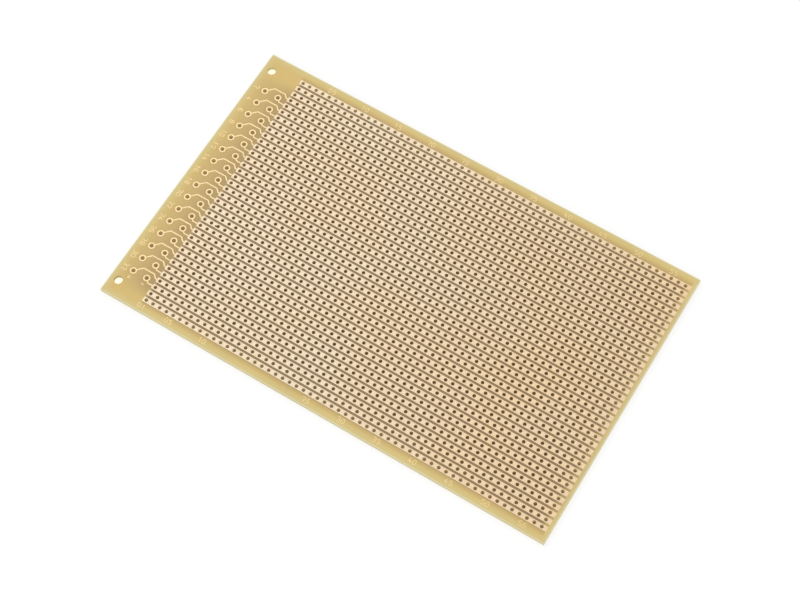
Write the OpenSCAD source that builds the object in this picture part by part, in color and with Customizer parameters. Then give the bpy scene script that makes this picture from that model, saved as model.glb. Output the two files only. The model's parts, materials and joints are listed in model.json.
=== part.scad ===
// Prototype board: a perforated laminate card with copper strips and pads for a two-row plug.
// The card lies on its bare side. X runs along the strips, away from the plug edge.

/* [Board] */
// Length of the board, from the plug edge to the far edge
board_l = 160; // [120:1:220]
// Width of the board, across the strips
board_w = 100; // [90:1:140]
// Thickness of the bare laminate
laminate_t = 1.5; // [0.8:0.1:3.2]
// Thickness of the copper foil
foil_t = 0.035; // [0.018:0.001:0.105]

/* [Hole field] */
// Pitch of the holes, along a strip and from one strip to the next
pitch = 2.54; // [2:0.01:4]
// Diameter of the component holes
hole_d = 1; // [0.6:0.05:1.3]
// Distance from the plug edge to the first column of holes
first_column_x = 14.6; // [13:0.1:30]
// Least distance from the last column of holes to the far edge
end_margin = 2.2; // [2:0.1:10]
// Least distance from an outer strip's centre line to the long edge
side_margin = 3.2; // [1.5:0.1:10]

/* [Copper strips] */
// Width of one strip
strip_w = 1.8; // [1.5:0.05:1.95]
// Copper ahead of a strip's first hole
strip_lead = 1.2; // [0.8:0.05:1.6]
// Copper past a strip's last hole
strip_tail = 1.85; // [0.8:0.05:1.9]

/* [Plug pads] */
// Distance from the plug edge to the outer row of pads
outer_row_x = 5.3; // [4:0.1:6]
// Distance between the two rows of pads
row_gap = 5.08; // [4:0.01:6]
// Diameter of a pad
pad_d = 2.3; // [1.8:0.05:2.6]
// Diameter of the hole in a pad
pad_hole_d = 1.2; // [0.8:0.05:1.3]
// Strips without a pad along the first long edge
spare_first = 3; // [0:1:6]
// Strips without a pad along the other long edge
spare_last = 2; // [0:1:6]

/* [Traces] */
// Width of a trace
trace_w = 0.4; // [0.2:0.05:0.8]
// How far an outer pad's trace runs beside its strip's centre line
trace_offset = 1.1; // [0.9:0.05:1.3]
// Straight stretch of trace ahead of a strip
trace_lead = 0.55; // [0.3:0.05:0.8]

/* [Fixing holes] */
// Diameter of the two holes for the plug's screws
fixing_hole_d = 2.8; // [2.2:0.1:3.4]
// Distance from the plug edge to the fixing holes
fixing_hole_x = 3; // [2.4:0.1:6]
// Distance from the plug's end contact place to a fixing hole
fixing_reach = 5.08; // [3:0.01:6]

/* [Hidden] */
$fn = 24;

plug_edge_x = -board_l / 2;
strip_count = floor((board_w - 2 * side_margin) / pitch) + 1;
column_count = floor((board_l - first_column_x - end_margin) / pitch) + 1;
pad_count = floor((strip_count - spare_first - spare_last) / 2);
contact_places = 2 * pad_count;

first_x = plug_edge_x + first_column_x;
last_x = first_x + (column_count - 1) * pitch;
strip_start_x = first_x - strip_lead;
strip_end_x = last_x + strip_tail;
outer_pad_x = plug_edge_x + outer_row_x;
inner_pad_x = outer_pad_x + row_gap;
fixing_x = plug_edge_x + fixing_hole_x;
fixing_y = (contact_places - 1) / 2 * pitch + fixing_reach;

strip_numbers = [1 : strip_count];
columns = [0 : column_count - 1];
pads = [0 : pad_count - 1];

// Centre line of a strip, counted from 1 at the first long edge
function strip_y(number) = ((strip_count + 1) / 2 - number) * pitch;

// Centre line of a pair of pads, midway between the two strips that it feeds
function pad_y(pair) = strip_y(spare_first + 2 * pair + 1) - pitch / 2;

// Pair of pads that a strip belongs to, and whether it takes the outer pad of it
function pair_of(number) = floor((number - spare_first - 1) / 2);
function has_pad(number) = pair_of(number) >= 0 && pair_of(number) < pad_count;
function takes_outer(number) = (number - spare_first) % 2 == 1;

function two_digits(number) = number < 10 ? str("0", number) : str(number);
function strip_name(number) = str("copper_strip_", two_digits(number));

module hole_row(number) {
    for (column = columns)
        translate([first_x + column * pitch, strip_y(number)])
            circle(d = hole_d);
}

module pad_holes() {
    for (pair = pads, x = [outer_pad_x, inner_pad_x])
        translate([x, pad_y(pair)])
            circle(d = pad_hole_d);
}

module fixing_holes() {
    for (side = [-1, 1])
        translate([fixing_x, side * fixing_y])
            circle(d = fixing_hole_d);
}

// One straight length of trace with round ends
module trace(from, to) {
    run = to - from;
    translate(from)
        rotate(atan2(run.y, run.x))
            translate([0, -trace_w / 2])
                square([norm(run), trace_w]);
    for (end = [from, to])
        translate(end)
            circle(d = trace_w);
}

module traces_along(points) {
    for (i = [1 : len(points) - 1])
        trace(points[i - 1], points[i]);
}

// The outer pad's trace climbs past the inner pad, runs on and drops to its strip.
module outer_pad_and_trace(number) {
    centre = [outer_pad_x, pad_y(pair_of(number))];
    run_y = strip_y(number) + trace_offset;
    rise = run_y - centre.y;
    drop_end_x = strip_start_x - trace_lead;
    translate(centre)
        circle(d = pad_d);
    traces_along([
        centre,
        [centre.x + rise, run_y],
        [drop_end_x - trace_offset, run_y],
        [drop_end_x, strip_y(number)],
        [strip_start_x, strip_y(number)]
    ]);
}

// The inner pad's trace drops straight to the level of its strip.
module inner_pad_and_trace(number) {
    centre = [inner_pad_x, pad_y(pair_of(number))];
    drop = centre.y - strip_y(number);
    translate(centre)
        circle(d = pad_d);
    traces_along([
        centre,
        [centre.x + drop, strip_y(number)],
        [strip_start_x, strip_y(number)]
    ]);
}

module strip_outline(number) {
    translate([strip_start_x, strip_y(number) - strip_w / 2])
        square([strip_end_x - strip_start_x, strip_w]);
    if (has_pad(number)) {
        if (takes_outer(number))
            outer_pad_and_trace(number);
        else
            inner_pad_and_trace(number);
    }
}

module laminate() {
    color([0.80, 0.68, 0.42])
        linear_extrude(laminate_t)
            difference() {
                square([board_l, board_w], center = true);
                for (number = strip_numbers)
                    hole_row(number);
                pad_holes();
                fixing_holes();
            }
}

module copper_strip(number) {
    color([0.93, 0.82, 0.66])
        translate([0, 0, laminate_t])
            linear_extrude(foil_t)
                difference() {
                    strip_outline(number);
                    hole_row(number);
                    pad_holes();
                }
}

laminate();
for (number = strip_numbers)
    copper_strip(number);
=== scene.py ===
"""Finishes, etched numbers and a plain stage for the prototype board."""
import json
import math

import bmesh
import bpy
from bpy.props import FloatProperty, FloatVectorProperty, PointerProperty
from bpy.types import Operator, Panel, PropertyGroup
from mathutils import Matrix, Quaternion, Vector


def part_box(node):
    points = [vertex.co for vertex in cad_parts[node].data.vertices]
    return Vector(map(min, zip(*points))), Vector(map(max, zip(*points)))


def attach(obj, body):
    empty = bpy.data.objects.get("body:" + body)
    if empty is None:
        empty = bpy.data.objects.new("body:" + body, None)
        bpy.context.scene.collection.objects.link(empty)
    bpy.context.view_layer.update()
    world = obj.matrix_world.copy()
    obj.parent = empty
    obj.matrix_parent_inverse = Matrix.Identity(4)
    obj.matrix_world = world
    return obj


bl_info = {
    "name": "Prototype board",
    "version": (1, 0, 0),
    "blender": (4, 5, 0),
    "location": "View3D > Sidebar > Board",
    "description": "Dresses the bare board with its finishes, etched numbers and stage",
    "category": "Object",
}

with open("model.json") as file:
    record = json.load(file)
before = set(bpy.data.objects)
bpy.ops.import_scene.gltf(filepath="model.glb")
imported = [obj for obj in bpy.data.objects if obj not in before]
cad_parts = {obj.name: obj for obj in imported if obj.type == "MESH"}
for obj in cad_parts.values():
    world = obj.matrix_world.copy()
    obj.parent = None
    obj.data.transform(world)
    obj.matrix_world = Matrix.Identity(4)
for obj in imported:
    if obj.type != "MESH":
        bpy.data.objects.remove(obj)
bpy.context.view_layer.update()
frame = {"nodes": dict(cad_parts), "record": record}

BODY = "root"
MM = 0.001
WHITE = (1.0, 1.0, 1.0, 1.0)

# Places on the board, read from the frame
LAMINATE_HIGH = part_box("laminate")[1]
STRIP_NAMES = sorted(name for name in frame["nodes"] if name.startswith("copper_strip_"))
FIRST_LOW, FIRST_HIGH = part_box(STRIP_NAMES[0])
LAST_LOW, LAST_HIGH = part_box(STRIP_NAMES[-1])
FIRST_STRIP_Y = (FIRST_LOW.y + FIRST_HIGH.y) / 2
LAST_STRIP_Y = (LAST_LOW.y + LAST_HIGH.y) / 2
PITCH = (FIRST_STRIP_Y - LAST_STRIP_Y) / (len(STRIP_NAMES) - 1)
STRIP_WIDTH = FIRST_HIGH.y - FIRST_LOW.y
STRIP_START, STRIP_END = FIRST_LOW.x, FIRST_HIGH.x
FOIL_TOP = FIRST_HIGH.z
FOIL_THICKNESS = FIRST_HIGH.z - FIRST_LOW.z
HALF_LENGTH = LAMINATE_HIGH.x
HALF_WIDTH = LAMINATE_HIGH.y
BOARD_TOP = LAMINATE_HIGH.z
MOUNTS = {mount["name"]: mount for mount in frame["record"]["mounts"]}
FIXING = MOUNTS["fixing_holes"]
PADS_X = MOUNTS["plug_pads"]["pos_m"][0]

# Copper ahead of a strip's first hole and past its last one, and the columns that follow from it
STRIP_LEAD = 1.2 * MM
STRIP_TAIL = 1.85 * MM
FIRST_COLUMN_X = STRIP_START + STRIP_LEAD
LAST_COLUMN_X = STRIP_END - STRIP_TAIL

# Plug pads: strips ahead of the first pair, the pairs, and the two rows
SPARE_STRIPS = 3
PAD_PAIRS = 16
PAD_PITCH = 2 * PITCH
FIRST_PAD_Y = FIRST_STRIP_Y - (SPARE_STRIPS + 0.5) * PITCH
LAST_PAD_Y = FIRST_PAD_Y - (PAD_PAIRS - 1) * PAD_PITCH
PADS_Y = (FIRST_PAD_Y + LAST_PAD_Y) / 2
PADS_REACH = (FIRST_PAD_Y - LAST_PAD_Y) / 2
ROW_GAP = 5.08 * MM
OUTER_PADS_X = PADS_X - ROW_GAP / 2

# Strokes of each figure in a box one wide and one tall, and whether the stroke closes
FIGURES = {
    "0": [([(0, 0), (1, 0), (1, 1), (0, 1)], True)],
    "1": [([(0.25, 0.74), (0.6, 1)], False), ([(0.6, 1), (0.6, 0)], False)],
    "2": [([(0, 0.75), (0, 1), (1, 1), (1, 0.55), (0, 0), (1, 0)], False)],
    "3": [([(0, 1), (1, 1), (1, 0.55), (0.4, 0.55)], False),
          ([(0.4, 0.55), (1, 0.55), (1, 0), (0, 0)], False)],
    "4": [([(0.55, 1), (0, 0.32)], False), ([(0, 0.32), (1, 0.32)], False),
          ([(0.7, 0.62), (0.7, 0)], False)],
    "5": [([(1, 1), (0, 1), (0, 0.6), (1, 0.6), (1, 0), (0, 0)], False)],
    "6": [([(0.9, 1), (0, 1), (0, 0), (1, 0), (1, 0.58), (0, 0.58)], False)],
    "7": [([(0, 1), (1, 1), (0.35, 0)], False)],
    "8": [([(0, 0), (1, 0), (1, 0.52), (0, 0.52)], True),
          ([(0, 0.52), (1, 0.52), (1, 1), (0, 1)], True)],
    "9": [([(0.1, 0), (1, 0), (1, 1), (0, 1), (0, 0.42), (1, 0.42)], False)],
    "a": [([(0, 0), (1, 0), (1, 0.65), (0, 0.65)], True),
          ([(1, 0.65), (1, 0)], False)],
    "c": [([(1, 0.65), (0, 0.65), (0, 0), (1, 0)], False)],
}

# Columns that carry a number along each long edge
FIRST_EDGE_COLUMNS = list(range(5, 60, 5))
LAST_EDGE_COLUMNS = [1, 5, 10] + list(range(25, 60, 5))
CONTACT_NUMBERS = [2 * pair for pair in range(1, PAD_PAIRS + 1)]

# Hole of the field that has a nick beside it
NICK_STRIP = 24
NICK_COLUMN = 3

# A face lies flat where its normal rises past this
LEVEL = 0.5
# Distances from the outline between which a side face turns from a sawn edge to a hole's wall
OUTLINE_FADE = (0.02 * MM, 0.1 * MM)
# Shares of the pitch between which a strip's shadow on the bare side fades
BAND_FADE = (0.30, 0.44)
# Noise levels between which tarnish and rolled lines rise from none to full
PATCH_LEVELS = (0.3, 0.7)
LINE_LEVELS = (0.5, 0.8)
# Shares of the nick's half size between which it fades
NICK_FADE = (0.8, 1.1)

# Where the lamps stand, from the middle of the board, and the key lamp's cool tint
KEY_TOWARDS = Vector((-0.62, 0.34, 0.71))
FILL_TOWARDS = Vector((0.18, -0.80, 0.57))
KEY_TINT = (0.90, 0.96, 1.0)


def srgb(red, green, blue):
    """A colour in eight-bit screen values, as the linear values that shaders take."""
    def linear(value):
        level = value / 255
        return level / 12.92 if level <= 0.04045 else ((level + 0.055) / 1.055) ** 2.4
    return linear(red), linear(green), linear(blue), 1.0


def length(name, description, millimetres):
    """A length property with its default given in millimetres."""
    return FloatProperty(name=name, description=description, default=millimetres * MM, unit="LENGTH")


def angle(name, description, degrees):
    """An angle property with its default given in degrees."""
    return FloatProperty(name=name, description=description, default=math.radians(degrees),
                         subtype="ANGLE")


def amount(name, description, default, unit="NONE"):
    """A property from 0 up."""
    return FloatProperty(name=name, description=description, default=default, min=0, unit=unit)


def share(name, description, default):
    """A property between 0 and 1."""
    return FloatProperty(name=name, description=description, default=default, min=0, max=1,
                         subtype="FACTOR")


def colour(name, description, red, green, blue):
    """A colour property with its default in eight-bit screen values."""
    return FloatVectorProperty(name=name, description=description, size=4, min=0, max=1,
                               default=srgb(red, green, blue), subtype="COLOR")


class BoardLaminate(PropertyGroup):
    """Finish of the tan laminate sheet."""
    margin: colour("Margin", "Bare laminate along the edges", 214, 184, 111)
    # Painted shade: the bare laminate round the plug pads is darker, where the copper keeps light out of
    # the translucent sheet
    plug_zone: colour("Plug zone", "Bare laminate between the plug pads", 201, 171, 108)
    # Painted shade: the laminate in the narrow gaps between strips is darker, where the copper on both
    # sides keeps light out of the translucent sheet
    gap: colour("Gap", "Laminate in the narrow gaps between strips", 144, 117, 78)
    # Painted glow: the margin turns lighter and more olive towards the cut edges, for light led into the
    # translucent sheet through them
    rim: colour("Rim", "Light olive that the translucent sheet shows near its cut edges", 214, 201, 140)
    # Painted glow: a pale fringe along the very edge of the top, for the light that glows at the outline
    fray: colour("Fray", "Pale fibres along the very edge of the top", 232, 224, 188)
    edge: colour("Cut edge", "Sawn side faces", 226, 216, 168)
    wall: colour("Hole wall", "Walls of the holes", 147, 90, 31)
    glow: colour("Glow", "Light that comes through the sheet into the hole walls", 250, 237, 157)
    field_glow: share("Field glow", "Share of the glow in holes under the strips", 0.054)
    rim_glow: share("Rim glow", "Share of the glow added in the outermost holes of the field", 0.13)
    rim_fade: share("Rim fade", "What is left of that glow one pitch further in", 0.48)
    plug_glow: share("Plug glow", "Share of the glow in holes at the plug edge", 0.25)
    glow_loss: share("Glow loss", "What that glow loses from the plug edge to the strips", 0.235)
    corner_share: share("Corner share", "Part of the plug glow that reaches the fixing holes", 0.18)
    glow_start: length("Glow start", "Where the led-in light starts, ahead of the first column", 3.556)
    underside: colour("Underside", "Bare side of the sheet", 206, 182, 124)
    shadow: colour("Strip shadow", "Copper seen faintly through the sheet's bare side", 184, 158, 102)
    # Reaches over which the painted gap shade fades out at the field's sides and ends
    blend: length("Blend", "Width over which the gap colour fades into the margin", 0.25)
    fade_in: length("Fade in", "Length over which it fades in from the strips' starts", 1.2)
    fade_out: length("Fade out", "Length over which it fades out to the strips' far ends", 2.8)
    dimming: length("Dimming", "Reach of the weak shade that the copper casts into the sheet", 2.0)
    dimming_share: share("Dimming share", "Depth of that shade", 0.33)
    plug_dimming: length("Plug dimming", "Reach of that shade into the plug zone", 8.0)
    plug_dimming_share: share("Plug dimming share", "Depth of the shade in the plug zone", 0.46)
    pad_shade: length("Pad shade", "Reach of the shade round a pad, from its centre", 2.0)
    pad_shade_share: share("Pad shade share", "Depth of the shade under a pad", 0.36)
    nook: length("Nook", "Size of the dark nook where an outer pad's trace meets its strip", 0.4)
    nook_back: length("Nook back", "From the strip's start to the nook, towards the plug", 0.2)
    nook_side: length("Nook side", "From the strip's centre line to the nook", 0.4)
    nook_share: share("Nook share", "Depth of the shade in the nook", 0.6)
    # The painted shade of the plug zone fades in from the plug edge and ends past the end pads
    plug_fade: length("Plug fade", "Reach from the plug edge to the full tone of the plug zone", 6.6)
    plug_end_fade: length("Plug end fade", "Reach past the end pads in which the plug zone ends", 7.62)
    # Reach and depth of that painted glow near the cut edges
    rim_width: length("Rim width", "Reach of the lighter rim in from the cut edges", 3.0)
    rim_share: share("Rim share", "Depth of the lighter rim", 0.6)
    # Width and cover of that painted fringe
    fray_width: length("Fray width", "Width of the pale fibres along the edge", 0.45)
    fray_share: share("Fray share", "Cover of the pale fibres", 0.7)
    thread: length("Thread", "Pitch of the glass cloth under the resin", 0.42)
    weave_tone: share("Weave tone", "How much the cloth lightens and darkens the resin", 0.03)
    mottle_scale: amount("Mottle scale", "Fineness of the slow mottling, per metre", 45)
    mottle_tone: share("Mottle tone", "How much the mottling lightens and darkens the resin", 0.16)
    grain_scale: amount("Grain scale", "Fineness of the grain, per metre", 900)
    grain_tone: share("Grain tone", "How much the grain lightens and darkens the resin", 0.05)
    grain_relief: share("Grain relief", "Height of the grain against the cloth", 0.5)
    cut_relief: amount("Cut relief", "Height of the grain against the plies on cut faces", 2)
    ply: length("Ply", "Thickness of one ply on the cut edge", 0.19)
    ply_share: share("Ply share", "Mean share of brown in the plies", 0.18)
    ply_swing: share("Ply swing", "How far that share swings from ply to ply", 0.12)
    roughness: share("Roughness", "Roughness of the resin surface", 0.46)
    cut_roughness: share("Cut roughness", "Roughness of sawn and drilled faces", 0.85)
    mottle_gloss: share("Mottle gloss", "How much the mottling changes the roughness", 0.15)
    relief: length("Relief", "Height of one step of the surface relief", 0.006)
    relief_share: share("Relief share", "Share of the relief that shows", 0.35)
    ior: amount("IOR", "Index of refraction of the resin", 1.52)


class BoardCopper(PropertyGroup):
    """Finish of the copper foil."""
    # Painted light: bright and warm also carry the foil's falloff, from whiter at the plug end to warmer
    # and darker at the far end; in the patches and lines, warm is tarnish
    bright: colour("Bright", "Clean foil, mostly towards the plug", 222, 205, 179)
    warm: colour("Warm", "Foil with a first trace of tarnish, mostly towards the far end", 229, 198, 155)
    plug_tone: colour("Plug tone", "Foil of the pads and traces", 232, 206, 157)
    worn: colour("Rim tone", "Foil at hole rims and etched edges", 116, 87, 56)
    nick: colour("Nick", "Laminate showing through a nick in one strip", 70, 48, 26)
    rim_radius: length("Rim radius", "Radius of the dark rim round a hole in a strip", 0.53)
    pad_rim_radius: length("Pad rim radius", "Radius of the dark rim round a hole in a pad", 0.63)
    rim_width: length("Rim width", "Width over which a rim lightens into the foil", 0.12)
    edge_width: length("Edge width", "Width of the etched edge of a strip", 0.07)
    nick_length: length("Nick length", "Size of the nick along its strip", 0.8)
    nick_width: length("Nick width", "Size of the nick across its strip", 0.55)
    nick_back: length("Nick back", "From the hole's centre to the nick, towards the plug", 0.72)
    nick_side: length("Nick side", "From the hole's centre to the nick, across the strip", 0.25)
    rim_share: share("Rim share", "Depth of the tone at hole rims", 0.92)
    edge_share: share("Edge share", "Depth of the tone at etched edges", 0.5)
    patch_scale: amount("Patch scale", "Fineness of the tarnish, per metre", 30)
    patch_share: share("Patch share", "Depth of the tarnish in patches", 0.3)
    patch_gloss: share("Patch gloss", "How much the tarnish changes the roughness", 0.2)
    # Painted light falloff along the board: the foil turns from bright to warm and darker towards the
    # far end
    far_start: length("Far start", "Where the even tarnish starts to grow, along the board", -24)
    far_end: length("Far end", "Where it would be full, past the far edge", 88)
    far_share: share("Far share", "Depth of the even tarnish where it is full", 0.5)
    line_scale: amount("Line scale", "Fineness of the rolled lines across them, per metre", 2600)
    line_run: amount("Line run", "Fineness of the rolled lines along them, per metre", 60)
    line_share: share("Line share", "Depth of the tone in the rolled lines", 0.25)
    line_gloss: share("Line gloss", "How much the lines change the roughness", 0.2)
    line_relief: share("Line relief", "Height of the lines", 0.35)
    speck_scale: amount("Speck scale", "Fineness of the specks, per metre", 1400)
    speck_tone: share("Speck tone", "How much the specks lighten and darken the foil", 0.42)
    speck_relief: share("Speck relief", "Height of the specks", 0.15)
    # Painted light: the foil's brightness is set along the board, rising from the strips' starts to the
    # middle
    start_tone: amount("Start tone", "Brightness of the foil at the strips' starts", 1.01)
    middle_gain: share("Middle gain", "How much brighter it is from the middle of the board on", 0.05)
    nick_gloss: share("Nick gloss", "How much rougher the nick is", 0.4)
    nick_relief: amount("Nick relief", "Depth of the nick", 2)
    roughness: share("Roughness", "Roughness of the foil", 0.42)
    relief: length("Relief", "Height of one step of the surface relief", 0.01)
    relief_share: share("Relief share", "Share of the relief that shows", 0.5)


class BoardFigures(PropertyGroup):
    """Sizes and places of the etched figures."""
    height: length("Height", "Height of a figure", 1.55)
    width: length("Width", "Width of a figure", 0.95)
    advance: length("Advance", "Distance from one figure to the next", 1.5)
    stroke: length("Stroke", "Width of an etched line", 0.19)
    corner: length("Corner", "Radius of the round corners", 0.42)
    first_edge_gap: length("First edge gap", "First strip's centre to the numbers beside it", 2.28)
    last_edge_gap: length("Last edge gap", "Last strip's centre to the numbers beside it", 2.43)
    column_shift: length("Column shift", "From a column to its number, towards the plug", 0.25)
    contact_gap: length("Contact gap", "Outer pads' centre to the contact numbers", 3.05)
    letter_gap: length("Letter gap", "Last pads' centre to the row letters", 2.5)
    letter_shift: length("Letter shift", "From a row of pads to its letter, away from the plug", 0.18)
    letter_share: share("Letter share", "Size of a row letter against a figure", 0.68)


class BoardStage(PropertyGroup):
    """Floor, lamps and camera."""
    ambient: amount("Ambient", "Light that the white surround casts", 0.85)
    floor_glow: share("Floor glow", "Light added to the floor where it is seen, to keep it white", 0.64)
    floor_paint: colour("Floor paint", "Floor for the light that it bounces", 236, 236, 236)
    floor_seen: colour("Seen floor", "Floor under its glow, where it is seen", 166, 166, 166)
    shaded_ground: colour("Shaded ground", "Ground in the board's own shadow", 214, 204, 190)
    hole_glow: share("Hole glow", "Light added to the floor where the fixing holes show it", 1.0)
    hole_tint: colour("Hole tint", "Colour of that light", 255, 251, 214)
    key_power: amount("Key power", "Power of the lamp at the back left", 11, "POWER")
    fill_power: amount("Fill power", "Power of the lamp at the front", 10, "POWER")
    lamp_distance: length("Lamp distance", "Lamps to the middle of the board", 3000)
    lamp_size: length("Lamp size", "Side of each square lamp", 1500)
    focal: amount("Focal length", "Lens of the camera, in millimetres", 82.37)
    azimuth: angle("Azimuth", "Bearing of the camera from the board", -57.623)
    elevation: angle("Elevation", "Height of the camera above the board", 66.064)
    roll: angle("Roll", "Turn of the camera about its line of sight", -1.175)
    distance: length("Distance", "Camera to the point it looks at", 572.85)
    aim_x: length("Aim X", "Point looked at, along the board", 2.66)
    aim_y: length("Aim Y", "Point looked at, across the board", -4.64)
    floor_reach: length("Floor reach", "Half the side of the floor", 3000)
    floor_gap: length("Floor gap", "How far the ground stays below the board", 0.05)
    shadow_inset: length("Shadow inset", "How far the shaded ground stays inside the outline", 0.6)


PROPERTY_GROUPS = {
    "board_laminate": BoardLaminate,
    "board_copper": BoardCopper,
    "board_figures": BoardFigures,
    "board_stage": BoardStage,
}


class Shader:
    """The node tree of a material or world, with short calls for the nodes used here."""

    def __init__(self, owner):
        owner.use_nodes = True
        self.owner = owner
        self.tree = owner.node_tree
        self.tree.nodes.clear()

    def add(self, kind, inputs=None, **settings):
        node = self.tree.nodes.new(kind)
        for key, value in settings.items():
            setattr(node, key, value)
        for key, value in (inputs or {}).items():
            self.feed(node.inputs[key], value)
        return node

    def feed(self, socket, value):
        if isinstance(value, bpy.types.NodeSocket):
            self.tree.links.new(value, socket)
        else:
            socket.default_value = value

    def maths(self, operation, *values):
        inputs = dict(enumerate(values))
        return self.add("ShaderNodeMath", inputs, operation=operation).outputs[0]

    def step(self, value, low, high):
        """0 below low, 1 above high and a smooth rise between them."""
        node = self.add("ShaderNodeMapRange", {0: value, 1: low, 2: high},
                        interpolation_type="SMOOTHSTEP")
        return node.outputs[0]

    def inverse(self, value):
        return self.maths("SUBTRACT", 1.0, value)

    def chain(self, operation, values):
        result = values[0]
        for value in values[1:]:
            result = self.maths(operation, result, value)
        return result

    def product(self, *values):
        return self.chain("MULTIPLY", values)

    def largest(self, *values):
        return self.chain("MAXIMUM", values)

    def least(self, *values):
        return self.chain("MINIMUM", values)

    def vary(self, value, noise, swing):
        """A value that a noise from 0 to 1 moves up and down."""
        return self.maths("MULTIPLY_ADD", self.maths("SUBTRACT", noise, 0.5), swing, value)

    def scaled(self, colour, factor):
        inputs = {0: colour, 1: factor}
        return self.add("ShaderNodeVectorMath", inputs, operation="MULTIPLY").outputs[0]

    def mix(self, factor, first, second):
        node = self.add("ShaderNodeMix", {0: factor, 6: first, 7: second}, data_type="RGBA")
        return node.outputs[2]

    def blend_values(self, factor, first, second):
        node = self.add("ShaderNodeMix", {0: factor, 2: first, 3: second}, data_type="FLOAT")
        return node.outputs[0]

    def reach(self, first, second):
        """Length of a flat vector."""
        vector = self.add("ShaderNodeCombineXYZ", {0: first, 1: second}).outputs[0]
        return self.add("ShaderNodeVectorMath", {0: vector}, operation="LENGTH").outputs[1]

    def from_nearest(self, value, start, pitch):
        """Distance, with its sign, from the nearest of evenly spaced lines."""
        turns = self.maths("DIVIDE", self.maths("SUBTRACT", value, start), pitch)
        return self.product(self.maths("WRAP", turns, 0.5, -0.5), pitch)

    def noise(self, vector, scale, detail):
        node = self.add("ShaderNodeTexNoise", {"Vector": vector, "Scale": scale, "Detail": detail})
        return node.outputs[0]

    def place(self):
        """The point on the piece as a vector and as its three parts."""
        vector = self.add("ShaderNodeTexCoord").outputs["Object"]
        parts = self.add("ShaderNodeSeparateXYZ", {0: vector}).outputs
        return vector, parts[0], parts[1], parts[2]

    def stretched(self, vector, scale):
        return self.add("ShaderNodeMapping", {"Vector": vector, "Scale": scale}).outputs[0]

    def bump(self, height, distance, strength):
        inputs = {"Height": height, "Distance": distance, "Strength": strength}
        return self.add("ShaderNodeBump", inputs).outputs[0]

    def seen_rays(self):
        """1 for rays that show a thing, straight or mirrored, and 0 for rays that light others."""
        rays = self.add("ShaderNodeLightPath").outputs
        return self.largest(rays["Is Camera Ray"], rays["Is Glossy Ray"], rays["Is Transmission Ray"])

    def surface(self, shader):
        self.add("ShaderNodeOutputMaterial", {"Surface": shader})
        return self.owner


def column_x(column):
    """Centre of a column of holes, counted from 1 at the plug end."""
    return FIRST_COLUMN_X + (column - 1) * PITCH


def strip_field(s, x, y, beside, fade_in, fade_out):
    """1 over the strips, fading to 0 within a reach beside them and over a length inside their ends."""
    return s.product(
        s.step(x, STRIP_START, STRIP_START + fade_in),
        s.inverse(s.step(x, STRIP_END - fade_out, STRIP_END)),
        s.inverse(s.step(s.maths("ABSOLUTE", y), FIRST_HIGH.y, FIRST_HIGH.y + beside)),
    )


def pad_distance(s, x, y):
    """Distance from the nearest pad's centre, on the grid that the pads stand on."""
    return s.reach(s.from_nearest(x, OUTER_PADS_X, ROW_GAP), s.from_nearest(y, FIRST_PAD_Y, PAD_PITCH))


def along_pads(s, y):
    """1 from the first pair of pads to the last, 0 beyond them."""
    return s.maths("COMPARE", y, PADS_Y, PADS_REACH + PITCH)


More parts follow.
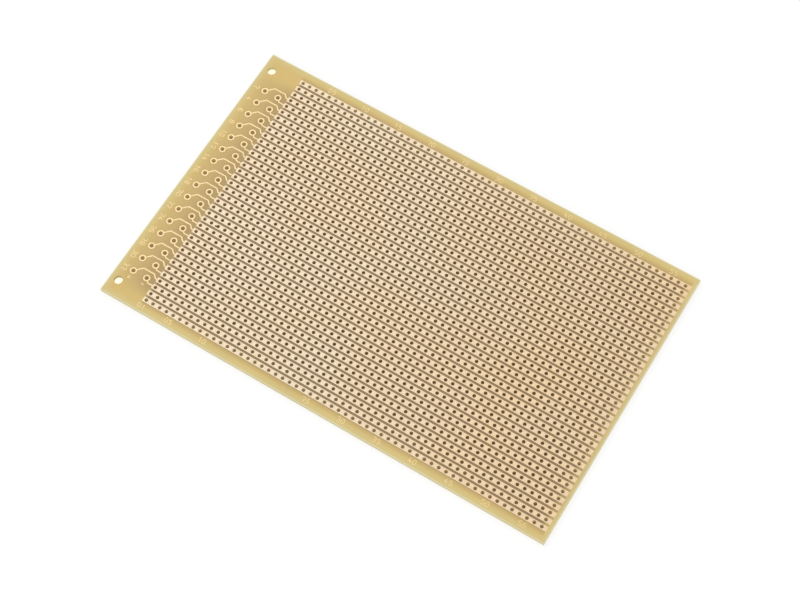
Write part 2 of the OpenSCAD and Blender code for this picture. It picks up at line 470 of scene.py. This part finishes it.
def laminate_material(look):
    """Resin-rich tan sheet: glass cloth under the surface, plies on the cut edges, brown holes."""
    s = Shader(bpy.data.materials.new("tan_laminate"))
    vector, x, y, z = s.place()
    normal = s.add("ShaderNodeNewGeometry").outputs["True Normal"]
    normal_z = s.add("ShaderNodeSeparateXYZ", {0: normal}).outputs[2]
    flat = s.maths("GREATER_THAN", s.maths("ABSOLUTE", normal_z), LEVEL)
    facing_down = s.maths("LESS_THAN", normal_z, -LEVEL)

    # Distance in from the cut edges, the patch that the strips cover, and the zone of the plug pads,
    # where the laminate is painted in a darker shade
    from_ends = s.maths("SUBTRACT", HALF_LENGTH, s.maths("ABSOLUTE", x))
    from_sides = s.maths("SUBTRACT", HALF_WIDTH, s.maths("ABSOLUTE", y))
    from_edge = s.least(from_ends, from_sides)
    field = strip_field(s, x, y, look.blend, look.fade_in, look.fade_out)
    from_middle = s.maths("ABSOLUTE", s.maths("SUBTRACT", y, PADS_Y))
    by_pads = s.inverse(s.step(from_middle, PADS_REACH, PADS_REACH + look.plug_end_fade))
    plug_zone = s.product(s.step(x, -HALF_LENGTH, -HALF_LENGTH + look.plug_fade), by_pads)
    among_pads = along_pads(s, y)

    # Shade that the copper casts into the translucent sheet around it
    near_strips = strip_field(s, x, y, look.dimming, look.blend, look.blend)
    beside_field = s.product(near_strips, look.dimming_share)
    by_traces = s.product(s.step(x, STRIP_START - look.plug_dimming, STRIP_START),
                          s.maths("LESS_THAN", x, STRIP_END), by_pads, look.plug_dimming_share)
    round_pad = s.product(s.inverse(s.step(pad_distance(s, x, y), 0.0, look.pad_shade)), among_pads,
                          s.maths("GREATER_THAN", x, OUTER_PADS_X - ROW_GAP / 2),
                          s.maths("LESS_THAN", x, STRIP_START))
    by_plug = s.maths("MULTIPLY_ADD", round_pad, look.pad_shade_share, by_traces)
    first_fed_y = FIRST_PAD_Y + PITCH / 2
    nook_reach = s.reach(s.maths("SUBTRACT", x, STRIP_START - look.nook_back),
                         s.from_nearest(y, first_fed_y - look.nook_side, PAD_PITCH))
    nook = s.product(s.inverse(s.step(nook_reach, 0.0, look.nook)), among_pads, look.nook_share)
    shade = s.largest(beside_field, by_plug, nook)

    # Slow mottling of the resin, fine grain, and the cloth's over and under
    mottle = s.noise(vector, look.mottle_scale, 4.0)
    grain = s.noise(vector, look.grain_scale, 2.0)
    turns = 2 * math.pi / look.thread
    weave = s.product(s.maths("SINE", s.product(x, turns)), s.maths("SINE", s.product(y, turns)))

    # Painted shade in the plug zone, darker than the margin
    top = s.mix(plug_zone, look.margin, look.plug_zone)
    # Painted glow near the cut edges, in the rim colour
    rim = s.inverse(s.step(from_edge, 0.0, look.rim_width))
    top = s.mix(s.product(rim, look.rim_share), top, look.rim)
    # Painted glow along the very edge of the top
    fray = s.inverse(s.step(from_edge, 0.0, look.fray_width))
    top = s.mix(s.product(fray, look.fray_share), top, look.fray)
    # Painted shade in the gap colour, over the strips' field and in the copper's shade round it
    top = s.mix(s.largest(shade, field), top, look.gap)

    # From the bare side the strips show as faint darker bands
    across = s.maths("WRAP", s.maths("DIVIDE", y, PITCH), 0.5, -0.5)
    band = s.inverse(s.step(s.maths("ABSOLUTE", across), *BAND_FADE))
    under = s.mix(s.product(band, field), look.underside, look.shadow)
    sheet = s.mix(facing_down, top, under)

    # Plies on the sawn edges and in the fixing holes, brown walls in the other holes; the fixing holes'
    # walls take the lighter cut-edge colour as painted light, for light that comes through these larger
    # holes
    plies = s.maths("SINE", s.product(z, 2 * math.pi / look.ply))
    ply_share = s.maths("MULTIPLY_ADD", plies, look.ply_swing, look.ply_share)
    edge = s.mix(s.product(ply_share, grain), look.edge, look.wall)
    on_outline = s.inverse(s.step(from_edge, *OUTLINE_FADE))
    # Painted light: the walls of the fixing holes, in the plug corners, get the lighter cut-edge colour
    covered = s.step(x, STRIP_START - PITCH, STRIP_START)
    in_corner = s.product(s.inverse(covered), s.inverse(by_pads))
    cut = s.mix(s.largest(on_outline, in_corner), look.wall, edge)

    base = s.mix(flat, cut, sheet)
    tone = s.vary(1.0, mottle, look.mottle_tone)
    tone = s.maths("MULTIPLY_ADD", weave, look.weave_tone, tone)
    tone = s.vary(tone, grain, look.grain_tone)

    roughness = s.blend_values(flat, look.cut_roughness, look.roughness)
    roughness = s.vary(roughness, mottle, look.mottle_gloss)
    cut_relief = s.maths("MULTIPLY_ADD", grain, look.cut_relief, plies)
    relief = s.maths("MULTIPLY_ADD", grain, look.grain_relief, weave)
    relief = s.blend_values(flat, cut_relief, relief)

    # Light led in from the bare margins fills the outer holes and dies away inwards
    from_rows = s.maths("SUBTRACT", FIRST_STRIP_Y, s.maths("ABSOLUTE", y))
    from_last = s.maths("SUBTRACT", LAST_COLUMN_X, x)
    from_first = s.maths("SUBTRACT", x, FIRST_COLUMN_X - look.glow_start)
    inwards = s.least(from_rows, from_last, from_first)
    led_in = s.maths("POWER", look.rim_fade, s.maths("DIVIDE", inwards, PITCH))
    field_glow = s.maths("MULTIPLY_ADD", led_in, look.rim_glow, look.field_glow)
    loss = s.product(s.step(x, -HALF_LENGTH, STRIP_START), look.glow_loss)
    lit = s.largest(by_pads, look.corner_share)
    plug_glow = s.product(s.inverse(loss), lit, look.plug_glow)
    in_hole = s.product(s.inverse(flat), s.inverse(on_outline))
    glow = s.product(in_hole, s.blend_values(covered, plug_glow, field_glow))
    shader = s.add("ShaderNodeBsdfPrincipled", {
        "Base Color": s.scaled(base, tone),
        "Roughness": roughness,
        "IOR": look.ior,
        "Emission Color": look.glow,
        "Emission Strength": glow,
        "Normal": s.bump(relief, look.relief, look.relief_share),
    })
    return s.surface(shader.outputs[0])


def copper_material(look):
    """Thin etched foil: rolled along the strips, drawn in at the holes, a little warmer in patches."""
    s = Shader(bpy.data.materials.new("etched_copper"))
    vector, x, y, _ = s.place()
    in_field = s.product(s.maths("GREATER_THAN", x, STRIP_START),
                         s.maths("LESS_THAN", s.maths("ABSOLUTE", y), FIRST_HIGH.y + look.edge_width))

    # Rims of the field's holes and of the pads' holes, and the strip's own edges
    across = s.from_nearest(y, FIRST_STRIP_Y, PITCH)
    from_hole = s.reach(s.from_nearest(x, FIRST_COLUMN_X, PITCH), across)
    from_pad = pad_distance(s, x, y)
    hole_rim = s.step(from_hole, look.rim_radius, look.rim_radius + look.rim_width)
    pad_rim = s.step(from_pad, look.pad_rim_radius, look.pad_rim_radius + look.rim_width)
    rim = s.product(s.inverse(s.blend_values(in_field, pad_rim, hole_rim)),
                    s.largest(in_field, along_pads(s, y)))
    half_width = STRIP_WIDTH / 2
    edge = s.step(s.maths("ABSOLUTE", across), half_width - look.edge_width, half_width)
    # Darker tone at the rims of the holes and along the strips' etched edges
    worn = s.largest(s.product(rim, look.rim_share), s.product(in_field, edge, look.edge_share))

    # Patches of tarnish, and the fine lines of rolled and scrubbed foil
    patches = s.noise(vector, look.patch_scale, 4.0)
    specks = s.noise(vector, look.speck_scale, 2.0)
    lines = s.noise(s.stretched(vector, (look.line_run, look.line_scale, look.line_scale)), 1.0, 4.0)

    # Painted light falloff: the foil is painted warmer and darker towards the far end, away from the key
    # lamp; the noise patches added to it are tarnish
    painted_falloff = s.product(s.step(x, look.far_start, look.far_end), look.far_share)
    tarnish = s.maths("MULTIPLY_ADD", s.step(patches, *PATCH_LEVELS), look.patch_share, painted_falloff)
    base = s.mix(tarnish, look.bright, look.warm)
    base = s.mix(s.product(s.step(lines, *LINE_LEVELS), look.line_share), base, look.warm)
    base = s.mix(in_field, look.plug_tone, base)
    # Painted light: brightness set along the board, rising from the strips' starts to the middle of the
    # board
    tone = s.maths("MULTIPLY_ADD", s.step(x, STRIP_START, 0.0), look.middle_gain, look.start_tone)
    base = s.scaled(base, s.vary(tone, specks, look.speck_tone))
    base = s.mix(worn, base, look.worn)

    # One nick beside a hole, where the laminate shows through the foil
    nicked_x = column_x(NICK_COLUMN) - look.nick_back
    nicked_y = FIRST_STRIP_Y - (NICK_STRIP - 1) * PITCH - look.nick_side
    nick_x = s.maths("DIVIDE", s.maths("SUBTRACT", x, nicked_x), look.nick_length / 2)
    nick_y = s.maths("DIVIDE", s.maths("SUBTRACT", y, nicked_y), look.nick_width / 2)
    nick = s.inverse(s.step(s.reach(nick_x, nick_y), *NICK_FADE))
    base = s.mix(nick, base, look.nick)

    roughness = s.vary(look.roughness, lines, look.line_gloss)
    roughness = s.vary(roughness, patches, look.patch_gloss)
    roughness = s.maths("MULTIPLY_ADD", nick, look.nick_gloss, roughness)
    relief = s.maths("MULTIPLY_ADD", lines, look.line_relief, s.product(specks, look.speck_relief))
    relief = s.maths("SUBTRACT", relief, s.maths("MULTIPLY_ADD", nick, look.nick_relief, rim))
    shader = s.add("ShaderNodeBsdfPrincipled", {
        "Base Color": base,
        "Metallic": s.inverse(nick),
        "Roughness": roughness,
        "Normal": s.bump(relief, look.relief, look.relief_share),
    })
    return s.surface(shader.outputs[0])


def white_floor_material(name, stage, tint, glow):
    """Pale floor that is seen as white, keeps a shadow and bounces plain light."""
    s = Shader(bpy.data.materials.new(name))
    seen = s.seen_rays()
    paint = s.mix(seen, stage.floor_paint, stage.floor_seen)
    diffuse = s.add("ShaderNodeBsdfDiffuse", {"Color": paint}).outputs[0]
    lift = s.add("ShaderNodeEmission", {"Color": tint, "Strength": s.product(seen, glow)}).outputs[0]
    return s.surface(s.add("ShaderNodeAddShader", {0: diffuse, 1: lift}).outputs[0])


def plain_ground_material(stage):
    """The ground in the board's own shadow."""
    s = Shader(bpy.data.materials.new("ground_in_shadow"))
    return s.surface(s.add("ShaderNodeBsdfDiffuse", {"Color": stage.shaded_ground}).outputs[0])


def link(name, data):
    """Puts new data into the scene as an object at the origin."""
    thing = bpy.data.objects.new(name, data)
    bpy.context.scene.collection.objects.link(thing)
    return thing


def etched_line_tree():
    """Geometry nodes that turn strokes into flat lines of foil."""
    tree = bpy.data.node_groups.new("etched_line", "GeometryNodeTree")
    face = tree.interface
    face.new_socket("Geometry", in_out="INPUT", socket_type="NodeSocketGeometry")
    for name in ("Stroke", "Foil", "Corner"):
        face.new_socket(name, in_out="INPUT", socket_type="NodeSocketFloat")
    face.new_socket("Material", in_out="INPUT", socket_type="NodeSocketMaterial")
    face.new_socket("Geometry", in_out="OUTPUT", socket_type="NodeSocketGeometry")

    nodes, links = tree.nodes, tree.links
    given = nodes.new("NodeGroupInput").outputs
    fillet = nodes.new("GeometryNodeFilletCurve")
    fillet.mode = "POLY"
    fillet.inputs["Count"].default_value = 4
    fillet.inputs["Limit Radius"].default_value = True
    upright = nodes.new("GeometryNodeSetCurveNormal")
    upright.mode = "Z_UP"
    section = nodes.new("GeometryNodeCurvePrimitiveQuadrilateral")
    sweep = nodes.new("GeometryNodeCurveToMesh")
    sweep.inputs["Fill Caps"].default_value = True
    union = nodes.new("GeometryNodeMeshBoolean")
    union.operation = "UNION"
    union.solver = "EXACT"
    union.inputs["Self Intersection"].default_value = True
    realize = nodes.new("GeometryNodeRealizeInstances")
    paint = nodes.new("GeometryNodeSetMaterial")
    result = nodes.new("NodeGroupOutput").inputs

    links.new(given["Geometry"], fillet.inputs["Curve"])
    links.new(given["Corner"], fillet.inputs["Radius"])
    links.new(fillet.outputs[0], upright.inputs["Curve"])
    links.new(given["Stroke"], section.inputs["Width"])
    links.new(given["Foil"], section.inputs["Height"])
    links.new(upright.outputs[0], sweep.inputs["Curve"])
    links.new(section.outputs[0], sweep.inputs["Profile Curve"])
    links.new(sweep.outputs[0], union.inputs["Mesh 2"])
    links.new(union.outputs[0], realize.inputs[0])
    links.new(realize.outputs[0], paint.inputs["Geometry"])
    links.new(given["Material"], paint.inputs["Material"])
    links.new(paint.outputs[0], result[0])
    return tree


def set_input(modifier, name, value):
    """Sets a geometry nodes input by the identifier of the socket with this name."""
    for item in modifier.node_group.interface.items_tree:
        if item.name == name and item.in_out == "INPUT":
            modifier[item.identifier] = value


def write_number(curve, text, centre, turned, size, look):
    """Adds the strokes of a text, centred on a point, upright or turned to read towards -Y."""
    width, height = size * look.width, size * look.height
    reach = look.advance * (len(text) - 1) + width
    for place, figure in enumerate(text):
        left = place * look.advance - reach / 2
        for points, closed in FIGURES[figure]:
            spline = curve.splines.new("POLY")
            spline.points.add(len(points) - 1)
            spline.use_cyclic_u = closed
            for point, (across, up) in zip(spline.points, points):
                right = left + across * width
                rise = (up - 0.5) * height
                offset = Vector((rise, -right)) if turned else Vector((right, rise))
                spot = centre + offset
                point.co = (spot.x, spot.y, (BOARD_TOP + FOIL_TOP) / 2, 1.0)


def etched_piece(name, labels, turned, size, look):
    """Foil lettering from (text, centre) pairs, as one plain mesh on the board."""
    curve = bpy.data.curves.new(name + "_strokes", "CURVE")
    curve.dimensions = "3D"
    for text, centre in labels:
        write_number(curve, text, centre, turned, size, look)
    strokes = link(name + "_strokes", curve)
    modifier = strokes.modifiers.new("etched_line", "NODES")
    modifier.node_group = bpy.data.node_groups.get("etched_line") or etched_line_tree()
    set_input(modifier, "Stroke", look.stroke)
    set_input(modifier, "Foil", FOIL_THICKNESS)
    set_input(modifier, "Corner", look.corner)
    set_input(modifier, "Material", bpy.data.materials["etched_copper"])
    bpy.context.view_layer.update()
    evaluated = strokes.evaluated_get(bpy.context.evaluated_depsgraph_get())
    mesh = bpy.data.meshes.new_from_object(evaluated)
    mesh.name = name
    mesh.shade_flat()
    bpy.data.objects.remove(strokes)
    bpy.data.curves.remove(curve)
    piece = link(name, mesh)
    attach(piece, BODY)
    return piece


class BOARD_OT_laminate(Operator):
    """Give the laminate sheet its finish"""
    bl_idname = "board.laminate"
    bl_label = "Laminate finish"

    def execute(self, context):
        material = laminate_material(context.scene.board_laminate)
        dress(frame["nodes"]["laminate"], material)
        return {"FINISHED"}


class BOARD_OT_copper(Operator):
    """Give every copper strip its finish"""
    bl_idname = "board.copper"
    bl_label = "Copper finish"

    def execute(self, context):
        material = copper_material(context.scene.board_copper)
        for name in STRIP_NAMES:
            dress(frame["nodes"][name], material)
        return {"FINISHED"}


class BOARD_OT_column_numbers(Operator):
    """Etch the column numbers along both long edges"""
    bl_idname = "board.column_numbers"
    bl_label = "Column numbers"

    def execute(self, context):
        look = context.scene.board_figures
        rows = {
            "column_numbers_first_edge": (FIRST_EDGE_COLUMNS, FIRST_STRIP_Y + look.first_edge_gap),
            "column_numbers_last_edge": (LAST_EDGE_COLUMNS, LAST_STRIP_Y - look.last_edge_gap),
        }
        for name, (columns, y) in rows.items():
            labels = []
            for column in columns:
                x = column_x(column) - look.column_shift
                labels.append((f"{column:02d}", Vector((x, y))))
            etched_piece(name, labels, False, 1.0, look)
        return {"FINISHED"}


class BOARD_OT_contact_numbers(Operator):
    """Etch the contact numbers and row letters by the plug pads"""
    bl_idname = "board.contact_numbers"
    bl_label = "Contact numbers"

    def execute(self, context):
        look = context.scene.board_figures
        labels = []
        for place, number in enumerate(CONTACT_NUMBERS):
            y = FIRST_PAD_Y - place * PAD_PITCH
            labels.append((str(number), Vector((OUTER_PADS_X - look.contact_gap, y))))
        etched_piece("contact_numbers", labels, True, 1.0, look)
        letter_y = LAST_PAD_Y - look.letter_gap
        letters = []
        for row, letter in enumerate("ac"):
            x = OUTER_PADS_X + row * ROW_GAP + look.letter_shift
            letters.append((letter, Vector((x, letter_y))))
        etched_piece("row_letters", letters, True, look.letter_share, look)
        return {"FINISHED"}


class BOARD_OT_stage(Operator):
    """Set the floor, the soft light and the camera"""
    bl_idname = "board.stage"
    bl_label = "Stage"

    def execute(self, context):
        make_floor(context.scene.board_stage)
        make_light(context.scene)
        make_camera(context.scene)
        context.scene.view_settings.view_transform = "Standard"
        return {"FINISHED"}


def dress(node, material):
    """Gives a node one material and leaves its mesh as it is."""
    node.data.materials.clear()
    node.data.materials.append(material)


def flat_patch(name, rectangles, height, material):
    """Flat stage ground made of (low x, low y, high x, high y) rectangles."""
    mesh = bpy.data.meshes.new(name)
    shape = bmesh.new()
    for low_x, low_y, high_x, high_y in rectangles:
        corners = ((low_x, low_y), (high_x, low_y), (high_x, high_y), (low_x, high_y))
        shape.faces.new([shape.verts.new((x, y, height)) for x, y in corners])
    shape.to_mesh(mesh)
    shape.free()
    mesh.materials.append(material)
    return link(name, mesh)


def make_floor(stage):
    """White floor, plain in the board's shadow so that no glow shines up the small holes."""
    reach = stage.floor_reach
    white = white_floor_material("white_floor", stage, WHITE, stage.floor_glow)
    floor = flat_patch("floor", [(-reach, -reach, reach, reach)], -2 * stage.floor_gap, white)

    hole = FIXING["dims"]["hole_r_mm"] * MM
    fixing_x = FIXING["pos_m"][0]
    fixing_y = FIXING["dims"]["spacing_y_mm"] * MM / 2
    inset = stage.shadow_inset
    field_start = STRIP_START - inset
    plug_reach = fixing_y - 2 * hole
    shadow = flat_patch("floor_in_shadow", [
        (field_start, -HALF_WIDTH + inset, HALF_LENGTH - inset, HALF_WIDTH - inset),
        (-HALF_LENGTH + inset, -plug_reach, field_start, plug_reach),
    ], -stage.floor_gap, plain_ground_material(stage))

    # The slanted view through a fixing hole meets the floor on the side away from the camera
    tinted = white_floor_material("floor_in_holes", stage, stage.hole_tint, stage.hole_glow)
    under_holes = flat_patch("floor_under_fixing_holes", [
        (fixing_x - 2 * hole, side * fixing_y - hole, fixing_x + hole, side * fixing_y + 2 * hole)
        for side in (-1, 1)
    ], -stage.floor_gap, tinted)


def area_lamp(name, towards, stage, power, tint):
    """A soft square lamp, towards a side of the board and aimed at its middle."""
    data = bpy.data.lights.new(name, "AREA")
    data.shape = "SQUARE"
    data.size = stage.lamp_size
    data.energy = power
    data.color = tint
    lamp = link(name, data)
    lamp.location = towards.normalized() * stage.lamp_distance
    lamp.rotation_euler = (-towards).to_track_quat("-Z", "Y").to_euler()
    return lamp


def make_light(scene):
    """White surround, a large soft lamp from the far left and a weak one from the front."""
    stage = scene.board_stage
    world = bpy.data.worlds.new("white_surround")
    scene.world = world
    s = Shader(world)
    strength = s.blend_values(s.seen_rays(), stage.ambient, 1.0)
    background = s.add("ShaderNodeBackground", {"Color": WHITE, "Strength": strength})
    s.add("ShaderNodeOutputWorld", {"Surface": background.outputs[0]})
    key = area_lamp("key_lamp", KEY_TOWARDS, stage, stage.key_power, KEY_TINT)
    fill = area_lamp("fill_lamp", FILL_TOWARDS, stage, stage.fill_power, WHITE[:3])


def make_camera(scene):
    """The camera of the photograph, from its fitted bearing, height, roll and lens."""
    stage = scene.board_stage
    aim = Vector((stage.aim_x, stage.aim_y, FOIL_TOP))
    level = math.cos(stage.elevation)
    towards = Vector((level * math.cos(stage.azimuth), level * math.sin(stage.azimuth),
                      math.sin(stage.elevation)))
    data = bpy.data.cameras.new("camera")
    data.lens = stage.focal
    camera = link("camera", data)
    camera.location = aim + towards * stage.distance
    turn = (-towards).to_track_quat("-Z", "Y") @ Quaternion((0, 0, 1), stage.roll)
    camera.rotation_euler = turn.to_euler()
    scene.camera = camera


class BOARD_PT_panel(Panel):
    """Sizes and finishes of the board, with a button for each part of it"""
    bl_idname = "BOARD_PT_panel"
    bl_label = "Prototype board"
    bl_space_type = "VIEW_3D"
    bl_region_type = "UI"
    bl_category = "Board"

    def draw(self, context):
        for group_name, group in PROPERTY_GROUPS.items():
            box = self.layout.box()
            box.label(text=group.__doc__)
            for name in group.__annotations__:
                box.prop(getattr(context.scene, group_name), name)
        for operator in OPERATORS:
            self.layout.operator(operator.bl_idname)


OPERATORS = (
    BOARD_OT_laminate,
    BOARD_OT_copper,
    BOARD_OT_column_numbers,
    BOARD_OT_contact_numbers,
    BOARD_OT_stage,
)
CLASSES = tuple(PROPERTY_GROUPS.values()) + OPERATORS + (BOARD_PT_panel,)


def register():
    for cls in CLASSES:
        bpy.utils.register_class(cls)
    for name, group in PROPERTY_GROUPS.items():
        setattr(bpy.types.Scene, name, PointerProperty(type=group))


def unregister():
    for name in PROPERTY_GROUPS:
        delattr(bpy.types.Scene, name)
    for cls in reversed(CLASSES):
        bpy.utils.unregister_class(cls)


def main():
    register()
    bpy.ops.board.laminate()
    bpy.ops.board.copper()
    bpy.ops.board.column_numbers()
    bpy.ops.board.contact_numbers()
    bpy.ops.board.stage()


if __name__ == "__main__":
    main()
